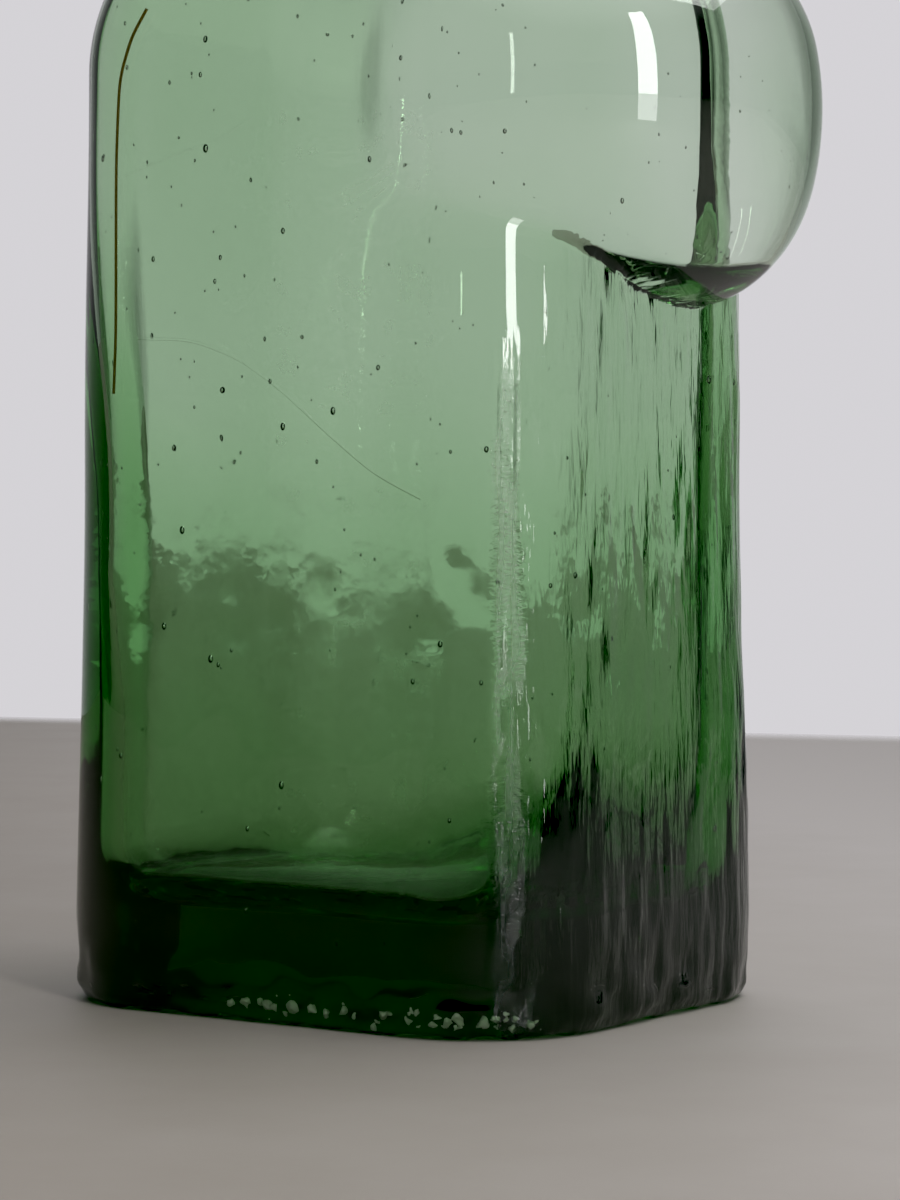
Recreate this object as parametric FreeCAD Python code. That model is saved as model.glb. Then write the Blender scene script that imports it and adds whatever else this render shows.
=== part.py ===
"""Mould-blown square glass bottle with a bubble pushed out of one side, and its glass stopper.

The body was blown into a wooden mould with a rounded-square plan. High on one side the mould
was open, and the glass swelled out there as a smooth round bubble that folds back under itself
where it meets the mould's edge. The foot is a heavy slab of glass with a shallow hollow under
it, the walls thin upwards, and the shoulders close in a dome to a short neck with a collar.
The stopper is a solid glass ball on a tapered peg, with a sleeve of cork pushed over the peg.

Frame: millimetres, +Z up. The origin is where the neck's axis meets the surface that the
bottle stands on. +X points out through the bubble, and the wide faces look along -Y and +Y.
"""

import FreeCAD
import Part

import math
import os

# Plan and height of the body
BODY_WIDTH = 89.0  # along X, across the wide faces, above the spread foot
BODY_DEPTH = 75.0  # along Y, across the side that carries the bubble
CORNER_RADIUS = 19.5  # of the four upright corners
BODY_HEIGHT = 141.0  # from the table to where the shoulders start
DOME_HEIGHT = 43.0  # height that the shoulders would have if they closed to a point
FOOT_SPREAD = 1.6  # how far each side stands out at the foot, where the hot glass sagged
SPREAD_HEIGHT = 84.0  # the sag dies out at this height
TOP_DRAW = 0.7  # how far each side draws in from the sag's end to the shoulders

# Foot
HEEL_RADIUS = 3.0  # round edge between the walls and the underside
PUNT_RADIUS = 24.0  # shallow hollow ground under the foot
PUNT_DEPTH = 1.6

# Glass thickness
BASE_THICKNESS = 15.0  # from the table to the floor of the inside
FLOOR_RADIUS = 9.0  # round edge between the floor and the inside walls
WALL_FOOT = 7.2  # wall just above the floor
WALL_TOP = 3.2  # wall at the shoulders
THICK_HEIGHT = 92.0  # the wall has thinned to WALL_TOP at this height

# Neck and collar
NECK_RADIUS = 14.2  # under the collar
NECK_TAPER = 0.9  # how much more the radius is inside the dome
NECK_LENGTH = 24.0  # from the crown of the dome to the underside of the collar
NECK_ROOT_RADIUS = 6.5  # concave sweep from shoulder to neck
COLLAR_RADIUS = 18.0
COLLAR_HEIGHT = 8.0
COLLAR_EDGE = 3.2  # fire-polished round edges of the collar
BORE_RADIUS = 10.0
MOUTH_EDGE = 1.2  # softened edge inside the mouth

# Bubble on the side
BUBBLE_REACH = 24.3  # how far it stands out from the wall
BUBBLE_TUCK = 0.6  # its near edge starts this far inside the -Y face
BUBBLE_RISE = 29.4  # half its height
BUBBLE_DROP = 7.0  # its middle lies this far below the start of the shoulders
BUBBLE_SHIFT = 10.0  # its root line stands this far towards +Y
BUBBLE_ROOT = 0.9  # its root line lies this far inside the wall's face
BUBBLE_WALL = 1.9

# Stopper
CORK_LENGTH = 20.0
CORK_PROUD = 1.5  # cork that shows above the mouth
CORK_CLEARANCE = 0.08  # all round, at the cork's widest
CORK_TAPER = 0.7  # how much less the radius is at the cork's lower end
PEG_RADIUS = 5.5  # at its root
PEG_TAPER = 1.1  # how much less the radius is at the peg's tip
PEG_OVERHANG = 3.0  # peg that shows below the cork
PEG_CLEARANCE = 0.05
PEG_TIP_EDGE = 1.5  # bevel round the tip
KNOB_RADIUS = 17.0  # the glass ball
KNOB_SEAT_RADIUS = 9.5  # flat under the ball, which presses on the cork
SEAT_GAP = 0.1  # between that flat and the cork

# Shares, chosen by eye, that set where the sections of the lofts lie
WALL_SECTION_SHARES = (0.0, 0.15, 0.35, 0.6, 1.0)
DOME_SECTION_SHARES = (0.0, 0.22, 0.43, 0.62, 0.77, 0.88, 0.95, 0.985)
ROUND_TOP_SHARE = 0.97  # corner radius over half depth at the top of the dome
# The bubble's outline seen from above, at its middle height: towards -Y it runs smoothly into
# the corner of the body, towards +Y it curls back and makes a fold. The first of each pair is
# a share of BUBBLE_REACH out from the wall, the second a share of the way from the root line
# to the near edge.
BUBBLE_OUTLINE_SHARES = (
    (-0.93, -0.93),
    (-0.38, -1.00),
    (0.15, -0.92),
    (0.60, -0.75),
    (0.93, -0.475),
    (1.00, -0.18),
    (0.78, 0.15),
    (0.36, 0.27),
    (-0.07, 0.17),
    (-0.62, -0.13),
)
BUBBLE_SECTION_SHARES = (-0.995, -0.94, -0.8, -0.58, -0.3, 0.0, 0.3, 0.58, 0.8, 0.94, 0.995)
OVERRUN = 1.0  # how far a cutting tool runs past what it cuts

AXIS_UP = FreeCAD.Vector(0, 0, 1)
QUARTER = math.pi / 2
EDGE_SAMPLES = 5  # points looked at along an edge, to tell which edge it is


def smooth(share):
    """0 to 1 with level ends, for a share from 0 to 1."""
    share = min(max(share, 0.0), 1.0)
    return share * share * (3 - 2 * share)


def side_offset(z):
    """How far each outside wall stands out from the body's nominal size at height z."""
    sag = FOOT_SPREAD * (1 - smooth(z / SPREAD_HEIGHT))
    drawn_in = TOP_DRAW * smooth((z - SPREAD_HEIGHT) / (BODY_HEIGHT - SPREAD_HEIGHT))
    return sag - drawn_in


def wall_thickness(z):
    """Thickness of the upright walls at height z."""
    thinned = smooth((z - BASE_THICKNESS) / (THICK_HEIGHT - BASE_THICKNESS))
    return WALL_FOOT + (WALL_TOP - WALL_FOOT) * thinned


def section(half_x, half_y, corner, z):
    """Rounded rectangle at height z: four sides and four corner arcs, from the same start."""
    points = []
    for turn, (side_x, side_y) in enumerate(((1, 1), (-1, 1), (-1, -1), (1, -1))):
        centre_x = side_x * (half_x - corner)
        centre_y = side_y * (half_y - corner)
        angles = [QUARTER * (turn + part) for part in (0, 0.5, 1)]
        points.append(
            [
                FreeCAD.Vector(
                    centre_x + corner * math.cos(angle), centre_y + corner * math.sin(angle), z
                )
                for angle in angles
            ]
        )
    edges = []
    for arc, following in zip(points, points[1:] + points[:1]):
        edges.append(Part.Arc(*arc).toShape())
        edges.append(Part.LineSegment(arc[-1], following[0]).toShape())
    return Part.Wire(edges)


def dome_sections(half_x, half_y, corner, height):
    """Sections that close in a dome above the body, and grow rounder as they rise."""
    wires = []
    corner_share = corner / min(half_x, half_y)
    for rise in DOME_SECTION_SHARES:
        shrink = math.sqrt(1 - rise * rise)
        roundness = corner_share + (ROUND_TOP_SHARE - corner_share) * rise * rise
        wires.append(
            section(
                half_x * shrink,
                half_y * shrink,
                min(half_x, half_y) * shrink * roundness,
                BODY_HEIGHT + height * rise,
            )
        )
    return wires


def grown_section(offset, z):
    """The body's rounded rectangle at height z, grown by an offset all round."""
    return section(BODY_WIDTH / 2 + offset, BODY_DEPTH / 2 + offset, CORNER_RADIUS + offset, z)


def domed_body(wires, offset, height, foot_radius):
    """Straight bands between upright sections, a smooth dome on top, and a rounded foot."""
    walls = Part.makeLoft(wires, True, True)
    dome = dome_sections(
        BODY_WIDTH / 2 + offset, BODY_DEPTH / 2 + offset, CORNER_RADIUS + offset, height
    )
    form = walls.fuse(Part.makeLoft(dome, True, False))
    foot = form.BoundBox.ZMin + OVERRUN
    foot_edges = [edge for edge in form.Edges if edge.BoundBox.ZMax < foot]
    return form.makeFillet(foot_radius, foot_edges)


def outer_form():
    """Outside of body and shoulders, solid through, with its heel rounded."""
    levels = [share * BODY_HEIGHT for share in WALL_SECTION_SHARES]
    wires = [grown_section(side_offset(z), z) for z in levels]
    return domed_body(wires, side_offset(BODY_HEIGHT), DOME_HEIGHT, HEEL_RADIUS)


def inner_form():
    """The hollow of body and shoulders, with its floor edge rounded."""
    rise = BODY_HEIGHT - BASE_THICKNESS
    levels = [BASE_THICKNESS + share * rise for share in WALL_SECTION_SHARES]
    wires = [grown_section(side_offset(z) - wall_thickness(z), z) for z in levels]
    inset = side_offset(BODY_HEIGHT) - WALL_TOP
    return domed_body(wires, inset, DOME_HEIGHT - WALL_TOP, FLOOR_RADIUS)


def bubble_outline(thickness):
    """Points round the bubble at its middle height, moved inwards by a thickness."""
    offset = side_offset(BODY_HEIGHT - BUBBLE_DROP)
    face = BODY_WIDTH / 2 + offset
    breadth = BODY_DEPTH / 2 + offset - BUBBLE_TUCK + BUBBLE_SHIFT
    points = [
        FreeCAD.Vector(face + across * BUBBLE_REACH, BUBBLE_SHIFT + along * breadth, 0)
        for across, along in BUBBLE_OUTLINE_SHARES
    ]
    inset = []
    for before, point, after in zip(points[-1:] + points[:-1], points, points[1:] + points[:1]):
        chord = after - before
        inwards = FreeCAD.Vector(-chord.y, chord.x, 0).normalize()
        inset.append(point + inwards * thickness)
    return inset


def bubble(thickness):
    """The swelling on the +X wall, solid through, made smaller by a thickness all round.

    Its level sections are all the same outline, drawn in towards the root line by the height
    of a half circle, and they follow the shoulder inwards above the body.
    """
    middle = BODY_HEIGHT - BUBBLE_DROP
    half_x = BODY_WIDTH / 2 + side_offset(BODY_HEIGHT)
    root = FreeCAD.Vector(half_x - BUBBLE_ROOT, BUBBLE_SHIFT, 0)
    outline = bubble_outline(thickness)
    wires = []
    for share in BUBBLE_SECTION_SHARES:
        z = middle + share * (BUBBLE_RISE - thickness)
        shrink = math.sqrt(1 - share * share)
        rise = max(z - BODY_HEIGHT, 0) / DOME_HEIGHT
        lean = half_x * (1 - math.sqrt(1 - rise * rise))
        move = FreeCAD.Vector(-lean, 0, z)
        curve = Part.BSplineCurve()
        curve.interpolate(
            Points=[root + (point - root) * shrink + move for point in outline],
            PeriodicFlag=True,
        )
        wires.append(Part.Wire(curve.toShape()))
    return Part.makeLoft(wires, True, False)


def neck_top():
    """Height of the mouth."""
    return BODY_HEIGHT + DOME_HEIGHT + NECK_LENGTH + COLLAR_HEIGHT


def disc(radius, z, height):
    """Round block on the neck's axis."""
    return Part.makeCylinder(radius, height, FreeCAD.Vector(0, 0, z), AXIS_UP)


def neck_form():
    """Slightly tapered neck, solid through, rooted inside the dome."""
    root = BODY_HEIGHT + DOME_HEIGHT / 2
    return Part.makeCone(
        NECK_RADIUS + NECK_TAPER,
        NECK_RADIUS,
        neck_top() - COLLAR_HEIGHT / 2 - root,
        FreeCAD.Vector(0, 0, root),
        AXIS_UP,
    )


def collar_form():
    """Fire-polished collar round the mouth."""
    ring = disc(COLLAR_RADIUS, neck_top() - COLLAR_HEIGHT, COLLAR_HEIGHT)
    edges = [edge for edge in ring.Edges if isinstance(edge.Curve, Part.Circle)]
    return ring.makeFillet(COLLAR_EDGE, edges)


def punt():
    """Ball that leaves a shallow hollow under the foot."""
    ball_radius = (PUNT_RADIUS**2 + PUNT_DEPTH**2) / (2 * PUNT_DEPTH)
    return Part.makeSphere(ball_radius, FreeCAD.Vector(0, 0, PUNT_DEPTH - ball_radius))


def edges_round(shape, radius, low, high):
    """Edges that keep near a radius from the neck's axis, between two heights."""
    found = []
    for edge in shape.Edges:
        if edge.Degenerated:
            continue
        points = edge.discretize(EDGE_SAMPLES)
        near = all(abs(math.hypot(point.x, point.y) - radius) < OVERRUN for point in points)
        level = all(low < point.z < high for point in points)
        if near and level:
            found.append(edge)
    return found


def bottle_body():
    """The blown glass: body, shoulders, neck, collar and bubble in one hollow piece."""
    outside = outer_form().fuse(neck_form())
    crown = BODY_HEIGHT + DOME_HEIGHT
    root_edges = edges_round(outside, NECK_RADIUS + NECK_TAPER / 2, BODY_HEIGHT, crown)
    outside = outside.makeFillet(NECK_ROOT_RADIUS, root_edges)
    outside = outside.fuse(collar_form())
    outside = outside.fuse(bubble(0))
    bore_foot = BODY_HEIGHT + DOME_HEIGHT / 2
    bore = disc(BORE_RADIUS, bore_foot, neck_top() + OVERRUN - bore_foot)
    hollow = inner_form().fuse(bubble(BUBBLE_WALL)).fuse(bore)
    glass = outside.cut(hollow).cut(punt())
    mouth = edges_round(glass, BORE_RADIUS, neck_top() - MOUTH_EDGE, neck_top() + OVERRUN)
    return glass.makeFillet(MOUTH_EDGE, mouth)


def cork_foot():
    """Height of the cork's lower end."""
    return neck_top() + CORK_PROUD - CORK_LENGTH


def peg_radius(z):
    """Radius of the stopper's peg at height z, between its root and its tip."""
    root = neck_top() + CORK_PROUD + SEAT_GAP
    length = CORK_LENGTH + SEAT_GAP + PEG_OVERHANG
    return PEG_RADIUS - PEG_TAPER * (root - z) / length


def stopper_cork():
    """Tapered cork sleeve, bored for the peg."""
    wide = BORE_RADIUS - CORK_CLEARANCE
    foot = cork_foot()
    sleeve = Part.makeCone(
        wide - CORK_TAPER, wide, CORK_LENGTH, FreeCAD.Vector(0, 0, foot), AXIS_UP
    )
    hole = Part.makeCone(
        peg_radius(foot) + PEG_CLEARANCE,
        peg_radius(foot + CORK_LENGTH) + PEG_CLEARANCE,
        CORK_LENGTH,
        FreeCAD.Vector(0, 0, foot),
        AXIS_UP,
    )
    return sleeve.cut(hole)


def stopper_knob():
    """Solid glass ball, flat underneath, on the tapered peg that holds the cork."""
    seat = neck_top() + CORK_PROUD + SEAT_GAP
    sink = math.sqrt(KNOB_RADIUS**2 - KNOB_SEAT_RADIUS**2)
    ball = Part.makeSphere(KNOB_RADIUS, FreeCAD.Vector(0, 0, seat + sink))
    below = disc(KNOB_RADIUS, seat - KNOB_RADIUS, KNOB_RADIUS)
    tip = cork_foot() - PEG_OVERHANG
    peg = Part.makeCone(
        peg_radius(tip), peg_radius(seat), seat - tip, FreeCAD.Vector(0, 0, tip), AXIS_UP
    )
    tip_edges = [edge for edge in peg.Edges if edge.BoundBox.ZMax < tip + PEG_TIP_EDGE]
    peg = peg.makeChamfer(PEG_TIP_EDGE, tip_edges)
    return ball.cut(below).fuse(peg)


def main():
    os.makedirs("parts", exist_ok=True)
    nodes = {
        "bottle_body": bottle_body(),
        "stopper_cork": stopper_cork(),
        "stopper_knob": stopper_knob(),
    }
    for name, shape in nodes.items():
        for solid in shape.Solids:
            box = solid.BoundBox
            print(
                f"{name}: valid {solid.isValid()}, volume {solid.Volume:.0f} mm3, "
                f"X {box.XMin:.1f} to {box.XMax:.1f}, Y {box.YMin:.1f} to {box.YMax:.1f}, "
                f"Z {box.ZMin:.1f} to {box.ZMax:.1f}"
            )
        shape.exportStep(f"parts/{name}.step")


main()
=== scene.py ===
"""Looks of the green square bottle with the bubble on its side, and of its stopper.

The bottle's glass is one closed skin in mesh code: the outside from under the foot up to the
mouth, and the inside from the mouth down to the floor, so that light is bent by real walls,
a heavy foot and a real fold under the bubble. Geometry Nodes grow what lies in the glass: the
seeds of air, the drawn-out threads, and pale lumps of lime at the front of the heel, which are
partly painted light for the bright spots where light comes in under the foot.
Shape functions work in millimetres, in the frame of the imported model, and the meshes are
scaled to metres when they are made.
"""

import bpy
import math
import numpy as np
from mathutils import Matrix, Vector


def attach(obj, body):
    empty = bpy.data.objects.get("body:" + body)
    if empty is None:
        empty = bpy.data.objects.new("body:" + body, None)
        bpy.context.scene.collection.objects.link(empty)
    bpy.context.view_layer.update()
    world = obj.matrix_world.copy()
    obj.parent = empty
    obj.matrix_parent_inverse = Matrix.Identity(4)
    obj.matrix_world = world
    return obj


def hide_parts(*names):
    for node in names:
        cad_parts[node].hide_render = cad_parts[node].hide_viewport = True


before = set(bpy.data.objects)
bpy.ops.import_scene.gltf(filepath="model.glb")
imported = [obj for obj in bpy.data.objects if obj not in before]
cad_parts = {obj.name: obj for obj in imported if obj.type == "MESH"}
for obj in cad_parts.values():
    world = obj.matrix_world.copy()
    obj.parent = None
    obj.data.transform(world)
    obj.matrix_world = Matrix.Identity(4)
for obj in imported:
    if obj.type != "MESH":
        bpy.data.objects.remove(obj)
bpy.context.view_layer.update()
scene = bpy.context.scene

MM = 0.001

# Camera, as the photograph was taken
CAMERA_AZIMUTH = math.radians(34.6)
SINE, COSINE = math.sin(CAMERA_AZIMUTH), math.cos(CAMERA_AZIMUTH)
CAMERA_DISTANCE = 0.523
CAMERA_HEIGHT = 0.071
CAMERA_PAN = 0.0057
CAMERA_PITCH = math.radians(1.11)
FOCAL_PIXELS = 3400
PHOTO_HEIGHT = 1200
SENSOR = 36.0

# Body, as the construction has it, but for the thicker lower end of its walls
BODY_WIDTH = 89.0
BODY_DEPTH = 75.0
CORNER_RADIUS = 19.5
BODY_HEIGHT = 141.0
DOME_HEIGHT = 43.0
FOOT_SPREAD = 1.6
SPREAD_HEIGHT = 84.0
TOP_DRAW = 0.7
ROUND_TOP_SHARE = 0.97
HEEL_RADIUS = 3.0
PUNT_RADIUS = 24.0
PUNT_DEPTH = 1.6
BASE_THICKNESS = 15.0
FLOOR_RADIUS = 9.0
WALL_FOOT = 8.0
WALL_TOP = 3.2
THICK_HEIGHT = 92.0
THIN_RUN = 12.0  # height over which the taper of the walls dies out
CORNER_TRIM = (
    (20, 3.5),
    (45, 4.5),
    (65, 8.0),
    (110, 6.0),
)  # heights, and how much tighter than evenly offset the hollow's corners are there
CORNER_WALL = 10.0  # glass that gathered on the two end walls beside the silhouette's corners
GATHERED_LOW = 62.0  # heights between which it thins out
GATHERED_HIGH = 128.0
GATHERED_EDGE = 14.0  # how far from the middle it begins, and over what run
GATHERED_RUN = 5.0
HEAVY_SIDE = 6.0  # how much thicker the wall on +X grows down into the base
HEAVY_LOW = 12.0
HEAVY_HIGH = 44.0

# Neck and collar
NECK_RADIUS = 14.2
NECK_TAPER = 0.9
NECK_LENGTH = 24.0
NECK_BLEND = 9.0  # how far the sweep between shoulder and neck reaches
STEEPEST = 1.5  # slope of the dome, run over rise, past which its distance is no longer eased
COLLAR_RADIUS = 18.0
COLLAR_HEIGHT = 8.0
COLLAR_EDGE = 3.2
BORE_RADIUS = 10.0
BORE_BLEND = 4.0
MOUTH_EDGE = 1.2

# Bubble, as the construction has it, but for its thinner wall, its floor and its leaning fold
BUBBLE_REACH = 24.3
BUBBLE_TUCK = 0.6
BUBBLE_RISE = 29.4
BUBBLE_DROP = 7.0
BUBBLE_SHIFT = 10.0
BUBBLE_ROOT = 0.9
BUBBLE_WALL = 1.0
BUBBLE_EDGE_WALL = 0.8  # how much thicker it is at the side that stands out furthest
BUBBLE_FLOOR = 109.0  # height of the floor over the glass that chilled under the bubble
BUBBLE_FLOOR_RISE = 3.0  # how much higher the floor is at the bubble's ends
BUBBLE_THINS = 1.9  # how much thinner the +X wall is where it swells into the bubble
THINS_LOW = 106.0  # height where it starts to thin
FOLD_LEAN = 8.0  # how far the fold on the +Y side has moved to -Y at its top
FOLD_LOW = 112.0  # heights between which it leans
FOLD_HIGH = 150.0
BUBBLE_OUTLINE_SHARES = (
    (-0.93, -0.93),
    (-0.38, -1.00),
    (0.15, -0.92),
    (0.60, -0.75),
    (0.93, -0.475),
    (1.00, -0.18),
    (0.78, 0.15),
    (0.36, 0.27),
    (-0.07, 0.17),
    (-0.62, -0.13),
)
NEAR_BLEND = 9.0  # soft run of the bubble into the corner and the shoulder
FOLD_BLEND = 0.7  # tight fold under the bubble and on its +Y side
SWEEP_LOW = 122.0  # height where the +Y fold starts to open into the soft sweep of the shoulder
SWEEP_RUN = 26.0
FLOOR_LOWEST = 41.4  # place across the photograph's view where the bubble's floor is lowest

GRAIN_DEPTH = 0.21  # marks of the wooden mould
HEEL_RELIEF = 0.40  # lumps of the heel, where the hot glass sat on the mould's base
UNDER_RELIEF = 0.9  # hollows under the foot's rim, between the places that it stands on
RIPPLE_DEPTH = 0.032  # ripples of the hollow's wall, where the glass chilled against the mould
CHILL_DENTS = np.random.default_rng(31).uniform(
    (-41, 50, 0.08, 1.5), (30, 67, 0.20, 2.6), (22, 4)
)  # blisters in the front wall's inside: place across the view, height, depth, radius

# Stopper
CORK_LENGTH = 20.0
CORK_PROUD = 1.5
CORK_RADIUS = 9.92
CORK_TAPER = 0.7
CORK_EDGE = 0.5  # how far its edges are crumbled round
CORK_PORES = 0.35  # depth of the pores
PEG_RADIUS = 5.5
PEG_TAPER = 1.1
PEG_OVERHANG = 3.0
PEG_TIP_EDGE = 1.5
KNOB_RADIUS = 17.0
KNOB_SEAT_RADIUS = 9.5
SEAT_GAP = 0.1

# Seeds, lime and cords in the glass
SEED_DEPTH = 1.0
SEED_DEPTH_IN_BUBBLE = 0.55
GRIT_AND_GLINT_DEPTH = 1.25  # of the lumps of lime just inside the front of the heel, partly painted light for the bright spots where light comes in under the foot
SEEDS = {  # of air
    "Lumps Per Square Metre": 9000.0,
    "Smallest": 0.15,  # radii, as shares of the depth at which they lie
    "Largest": 0.50,
    "Drawn Out": 1.35,  # how much taller than wide they are
    "Uneven": 0.0,  # how far their skin is dented, in metres
    "Scatter": 7,
}
GRIT_AND_GLINTS = {  # of lime, partly painted light for the bright spots under the foot
    "Lumps Per Square Metre": 400000.0,
    "Smallest": 0.25,
    "Largest": 0.78,
    "Drawn Out": 0.75,
    "Uneven": 0.0017,
    "Scatter": 7,
}
CORD_DEPTH = 1.5
CORDS = (
    ((-24.4, 100.1), (-14, 99.6), (-5, 96.5), (3, 91.5), (11.4, 85), (19, 79.6), (27, 76)),
    ((-27, 124.5), (-18, 127.0), (-10, 128.5), (-3, 131.5)),
)  # threads in the -Y wall: places along it, and heights
RUST_THREAD = ((-23.3, 149), (-26.0, 145), (-28.3, 138.7), (-28.9, 126), (-28.6, 101), (-29, 92))

CROWN = BODY_HEIGHT + DOME_HEIGHT
MOUTH = CROWN + NECK_LENGTH + COLLAR_HEIGHT
BUBBLE_MIDDLE = BODY_HEIGHT - BUBBLE_DROP


# Shape of the glass

def smooth(share):
    """0 to 1 with level ends."""
    share = np.clip(share, 0.0, 1.0)
    return share * share * (3 - 2 * share)


def side_offset(z):
    """How far the walls stand out from the nominal body at height z."""
    sag = FOOT_SPREAD * (1 - smooth(z / SPREAD_HEIGHT))
    return sag - TOP_DRAW * smooth((z - SPREAD_HEIGHT) / (BODY_HEIGHT - SPREAD_HEIGHT))


def wall_thickness(z):
    """Thickness of the upright walls at height z: an even taper with a soft end."""
    taper = (WALL_FOOT - WALL_TOP) / (THICK_HEIGHT - BASE_THICKNESS)
    below = THICK_HEIGHT - z
    eased = np.where(
        below > THIN_RUN,
        below,
        np.where(below > -THIN_RUN, (below + THIN_RUN) ** 2 / (4 * THIN_RUN), 0.0),
    )
    return WALL_TOP + taper * np.minimum(eased, THICK_HEIGHT - BASE_THICKNESS)


def corner_trim(x, y, z):
    """How much tighter than evenly offset the hollow's two outlying corners are at height z."""
    behind_bubble = smooth((x - 10) / 15) * smooth((z - 112) / 16)
    return np.interp(z, *zip(*CORNER_TRIM)) * smooth(x * y / 300) * (1 - behind_bubble)


def body_gap(x, y, z, offset, dome_height, trim=0.0):
    """Distance from the body's rounded square at height z, less than nothing inside."""
    rise = np.clip((z - BODY_HEIGHT) / dome_height, 0.0, 0.9999)
    shrink = np.sqrt(1 - rise * rise)
    half_x = BODY_WIDTH / 2 + offset
    half_y = BODY_DEPTH / 2 + offset
    corner_share = (CORNER_RADIUS + offset) / half_y
    corner = half_y * shrink * (corner_share + (ROUND_TOP_SHARE - corner_share) * rise * rise)
    corner = np.maximum(corner - trim * shrink, 3.0)
    past_x = np.abs(x) - (half_x * shrink - corner)
    past_y = np.abs(y) - (half_y * shrink - corner)
    gap = np.hypot(np.maximum(past_x, 0), np.maximum(past_y, 0)) - corner
    gap = gap + np.minimum(np.maximum(past_x, past_y), 0)
    slope = np.minimum(half_y * rise / (dome_height * shrink), STEEPEST)
    return gap / np.sqrt(1 + slope * slope) + np.maximum(z - BODY_HEIGHT - dome_height, 0)


def bubble_outline(thickness, edge_thickness):
    """Closed smooth curve round the bubble at its middle: turn about the root, and reach."""
    offset = side_offset(BUBBLE_MIDDLE)
    face = BODY_WIDTH / 2 + offset
    breadth = BODY_DEPTH / 2 + offset - BUBBLE_TUCK + BUBBLE_SHIFT
    points = np.array(
        [
            (face + across * BUBBLE_REACH, BUBBLE_SHIFT + along * breadth)
            for across, along in BUBBLE_OUTLINE_SHARES
        ]
    )
    chord = np.roll(points, -1, 0) - np.roll(points, 1, 0)
    inwards = np.stack([-chord[:, 1], chord[:, 0]], 1)
    outwards = np.clip([across for across, _ in BUBBLE_OUTLINE_SHARES], 0, 1)
    wall = thickness + edge_thickness * outwards
    points = points + (wall / np.linalg.norm(inwards, axis=1))[:, None] * inwards
    count = len(points)
    lengths = np.linalg.norm(np.roll(points, -1, 0) - points, axis=1)
    before = np.roll(lengths, 1)
    system = np.zeros((count, count))
    pull = np.zeros((count, 2))
    for i in range(count):
        j = (i + 1) % count
        system[i, i - 1] = lengths[i]
        system[i, i] = 2 * (lengths[i] + before[i])
        system[i, j] = before[i]
        pull[i] = 3 * (
            before[i] / lengths[i] * (points[j] - points[i])
            + lengths[i] / before[i] * (points[i] - points[i - 1])
        )
    tangents = np.linalg.solve(system, pull)
    share = np.linspace(0, 1, 40, endpoint=False)[:, None]
    curve = []
    for i in range(count):
        j = (i + 1) % count
        s2, s3 = share**2, share**3
        curve.append(
            (2 * s3 - 3 * s2 + 1) * points[i]
            + (s3 - 2 * s2 + share) * lengths[i] * tangents[i]
            + (3 * s2 - 2 * s3) * points[j]
            + (s3 - s2) * lengths[i] * tangents[j]
        )
    root = np.array([BODY_WIDTH / 2 + side_offset(BODY_HEIGHT) - BUBBLE_ROOT, BUBBLE_SHIFT])
    arms = np.concatenate(curve) - root
    turns = np.arctan2(arms[:, 1], arms[:, 0])
    order = np.argsort(turns)
    return root, turns[order], np.hypot(arms[:, 0], arms[:, 1])[order]


OUTER_BUBBLE = bubble_outline(0.0, 0.0)
INNER_BUBBLE = bubble_outline(BUBBLE_WALL, BUBBLE_EDGE_WALL)


def bubble_gap(x, y, z, outline, rise, drop):
    """Distance from the bubble, less than nothing inside, and the turn about its root."""
    root, turns, reaches = outline
    leant = FOLD_LEAN * smooth((z - FOLD_LOW) / (FOLD_HIGH - FOLD_LOW))
    y = y + leant * smooth((y - 3) / 12)
    half_x = BODY_WIDTH / 2 + side_offset(BODY_HEIGHT)
    above = np.clip((z - BODY_HEIGHT) / DOME_HEIGHT, 0.0, 1.0)
    lean = half_x * (1 - np.sqrt(1 - above * above))
    dx = x - root[0] + lean
    dy = y - root[1]
    turn = np.arctan2(dy, dx)
    reach = np.interp(turn, turns, reaches, period=2 * math.pi)
    rise = np.where(z > BUBBLE_MIDDLE, rise, drop)
    level = (z - BUBBLE_MIDDLE) / rise
    out = np.hypot(dx, dy) / reach
    share = np.maximum(np.hypot(out, level), 1e-6)
    steep = np.hypot(out / reach, level / rise) / share
    return (share - 1) / np.maximum(steep, 1e-6), turn


def soft_union(a, b, reach):
    """Union of two distances with a fillet of about that reach."""
    mix = np.clip(0.5 + 0.5 * (b - a) / reach, 0, 1)
    return b + (a - b) * mix - reach * mix * (1 - mix)


def fold_reach(turn, z):
    """Reach of the fillet at the bubble's root: wide at the near side and above, tight below."""
    near = smooth((-0.35 - turn) / 1.0) * smooth((turn + 3.3) / 0.5)
    above = smooth((z - SWEEP_LOW) / SWEEP_RUN)
    below = smooth((BUBBLE_MIDDLE - 0.45 * BUBBLE_RISE - z) / (0.4 * BUBBLE_RISE))
    wide = np.maximum(near * (1 - below), above)
    return FOLD_BLEND + (NEAR_BLEND - FOLD_BLEND) * wide


def neck_gap(x, y, z):
    """Distance from the slightly tapered neck."""
    up = (z - CROWN + DOME_HEIGHT / 2) / (NECK_LENGTH + DOME_HEIGHT / 2)
    return np.hypot(x, y) - (NECK_RADIUS + NECK_TAPER * (1 - up))


def outside_gap(x, y, z):
    """Outside of the bottle below the collar."""
    body = body_gap(x, y, z, side_offset(np.minimum(z, BODY_HEIGHT)), DOME_HEIGHT)
    neck = np.where(z > BODY_HEIGHT, neck_gap(x, y, z), 1e3)
    body = soft_union(body, neck, NECK_BLEND)
    bubble, turn = bubble_gap(x, y, z, OUTER_BUBBLE, BUBBLE_RISE, BUBBLE_RISE)
    return soft_union(body, bubble, fold_reach(turn, z))


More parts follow.
